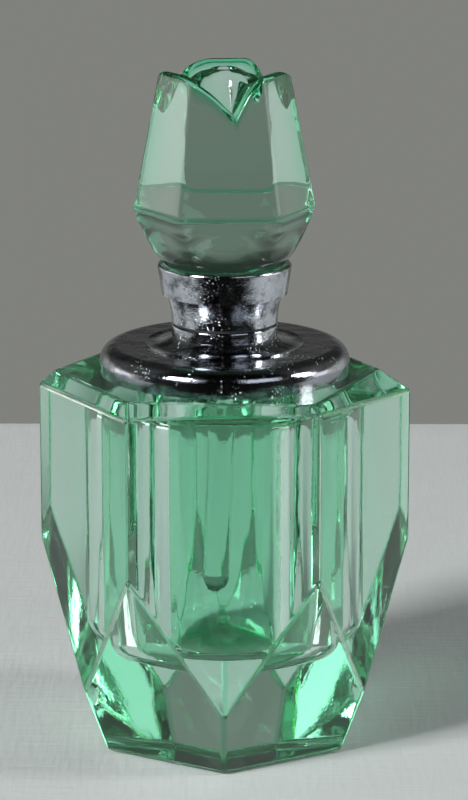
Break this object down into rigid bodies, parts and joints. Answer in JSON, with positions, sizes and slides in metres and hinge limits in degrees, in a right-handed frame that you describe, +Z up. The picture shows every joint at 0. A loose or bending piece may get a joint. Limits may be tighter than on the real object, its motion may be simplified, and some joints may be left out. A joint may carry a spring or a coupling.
{
  "type": "perfume dauber bottle",
  "caption": "Hexagonal cut-glass perfume bottle with a chromed collar and a lift-out stopper that carries a glass dauber rod and a rosebud finial.",
  "frame": {"origin": "centre of the six-sided foot, on the surface that the bottle stands on", "axes": "+Z up along the bottle's centre line, -Y out of the front flat side, +X to the viewer's right at a corner of the body"},
  "size_m": [0.057, 0.0494, 0.105],
  "materials": {
    "green_glass": "polished pale green pressed glass",
    "clear_glass": "clear drawn rod, fire polished",
    "chrome": "bright chrome plate, lightly pitted",
    "brass": "plain turned brass, dull",
    "cement": "matte set cement",
    "cork": "fine bark cork",
    "seal": "thin black sealing washer"
  },
  "bodies": {
    "bottle": {"bottle": "green_glass", "collar_flange": "chrome", "neck_sleeve": "chrome", "retaining_ring": "brass", "collar_cement": "cement"},
    "seal": {"seal_washer": "seal"},
    "stopper": {"stopper_cup": "chrome", "stopper_shank": "brass", "stopper_cork": "cork", "dauber": "clear_glass", "dauber_cement": "cement", "finial": "green_glass", "finial_cement": "cement"}
  },
  "joints": [
    {"name": "stopper_lift", "type": "slide", "parent": "bottle", "child": "seal", "axis": [0, 0, 1], "range_m": [0, 0.05]},
    {"name": "stopper_turn", "type": "hinge", "parent": "seal", "child": "stopper", "pos_m": [0, 0, 0.0656], "axis": [0, 0, 1], "continuous": true}
  ]
}
